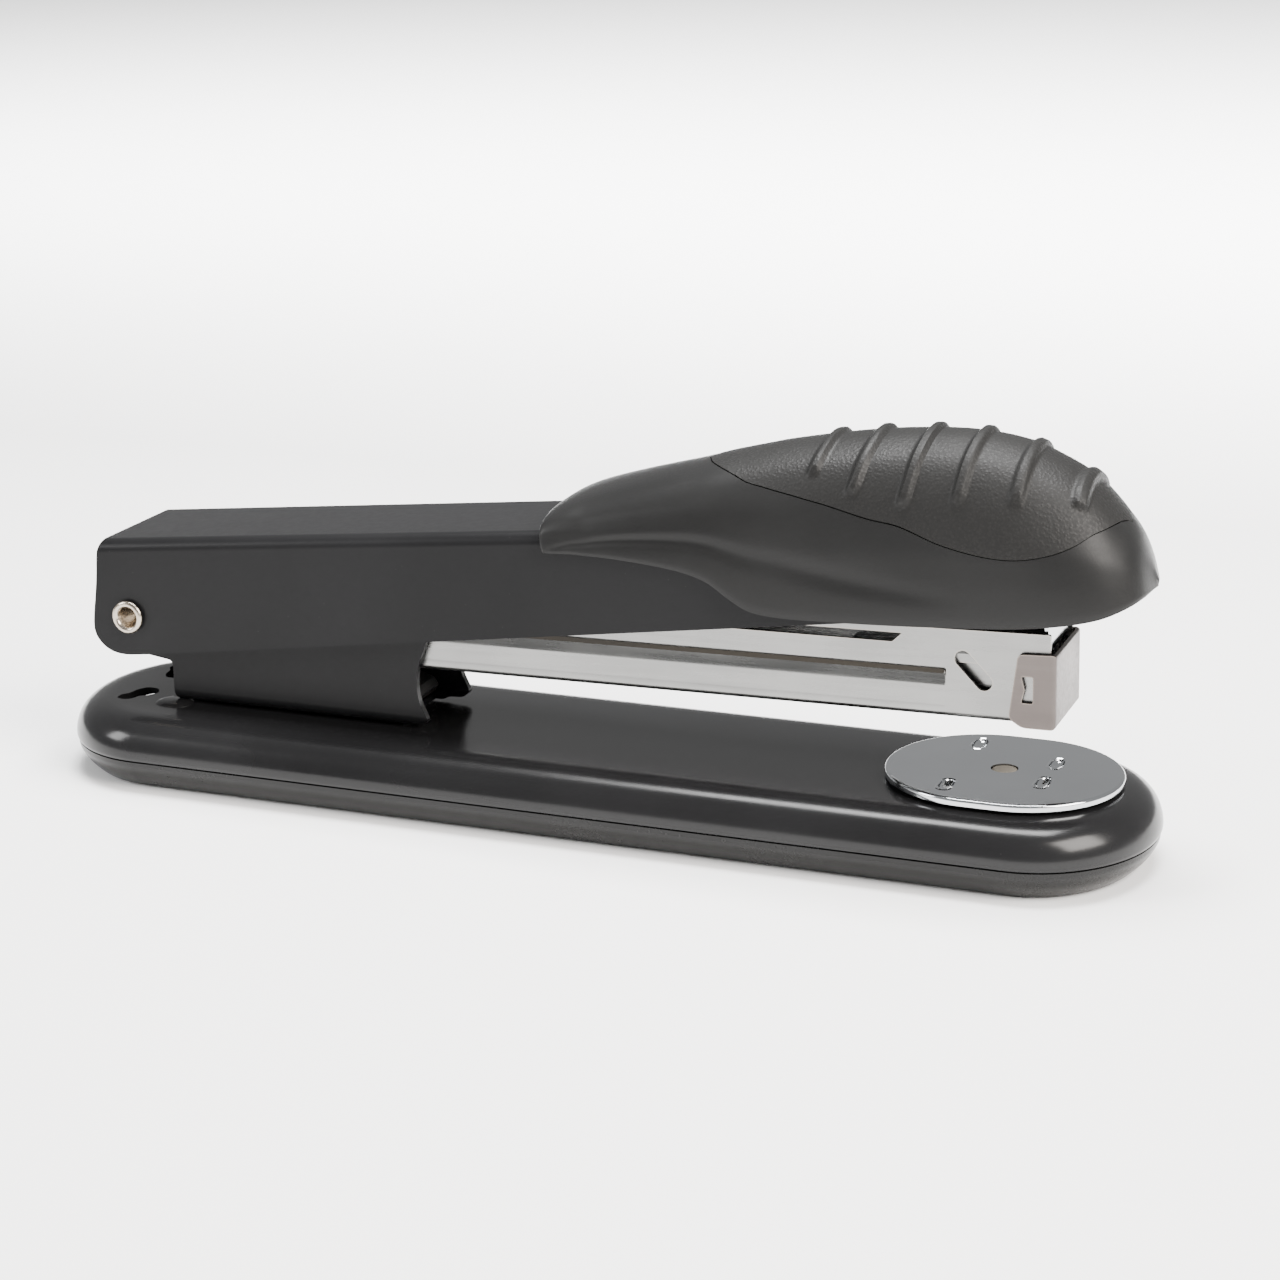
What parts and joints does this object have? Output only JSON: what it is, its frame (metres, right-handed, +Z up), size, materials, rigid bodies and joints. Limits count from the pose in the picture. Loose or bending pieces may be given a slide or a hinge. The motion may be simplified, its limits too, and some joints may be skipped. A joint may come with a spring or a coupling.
{
  "type": "desk stapler",
  "caption": "Full-strip desk stapler: long rounded base, turning anvil plate, sprung magazine and a hinged steel handle with a ribbed moulded grip.",
  "frame": {"origin": "centre of the base's underside", "axes": "+X along the stapler towards the head where staples leave, +Y across it, +Z up"},
  "size_m": [0.18, 0.0418, 0.065],
  "materials": {
    "black_paint": "semi-gloss black paint on pressed steel",
    "black_plastic": "satin black moulded plastic",
    "grip_plastic": "satin charcoal moulded plastic",
    "grip_rubber": "finely grained soft overmould",
    "bright_nickel": "bright nickel plate",
    "satin_nickel": "satin nickel plate",
    "chrome_plate": "polished chrome plate",
    "spring_steel": "plain spring steel",
    "rivet_steel": "nickel-plated rivet steel",
    "cream_plastic": "cream nylon",
    "foot_rubber": "matt black rubber"
  },
  "bodies": {
    "base": {"base_shell": "black_paint", "base_cover": "black_plastic", "foot_pad_front": "foot_rubber", "foot_pad_rear": "foot_rubber", "bracket": "black_paint", "bracket_rivet_front": "rivet_steel", "bracket_rivet_rear": "rivet_steel", "lift_spring": "spring_steel", "pivot_rivet": "rivet_steel", "anvil_spring": "spring_steel"},
    "anvil": {"anvil_plate": "chrome_plate", "anvil_stud": "cream_plastic", "anvil_retainer": "spring_steel"},
    "magazine": {"magazine_channel": "bright_nickel", "nose_plate": "satin_nickel", "staple_rail": "bright_nickel", "rod_block": "black_plastic", "rail_nose_block": "black_plastic", "guide_rod": "spring_steel", "pusher_spring": "spring_steel"},
    "pusher": {"staple_pusher": "bright_nickel"},
    "handle": {"handle_channel": "black_paint", "grip_cap": "grip_plastic", "grip_pad": "grip_rubber", "driver_blade": "chrome_plate", "driver_rivet": "rivet_steel", "return_spring": "spring_steel", "spring_rivet": "rivet_steel"}
  },
  "joints": [
    {"name": "magazine_hinge", "type": "hinge", "parent": "base", "child": "magazine", "pos_m": [-0.0755, 0, 0.0265], "axis": [0, -1, 0], "range_deg": [-3.4, 0], "stiffness_Nm_per_rad": 8, "springref_deg": 2.29, "deforming": ["lift_spring"]},
    {"name": "handle_hinge", "type": "hinge", "parent": "magazine", "child": "handle", "pos_m": [-0.0755, 0, 0.0265], "axis": [0, -1, 0], "range_deg": [-4, 92], "stiffness_Nm_per_rad": 5, "springref_deg": 0.69, "deforming": ["return_spring"]},
    {"name": "pusher_slide", "type": "slide", "parent": "magazine", "child": "pusher", "axis": [-0.9998, 0, -0.0175], "range_m": [0, 0.09], "stiffness_N_per_m": 15, "springref_m": -0.05, "deforming": ["pusher_spring"]},
    {"name": "anvil_turn", "type": "hinge", "parent": "base", "child": "anvil", "pos_m": [0.0664, 0, 0.0133], "axis": [0, 0, 1], "range_deg": [0, 180]}
  ]
}
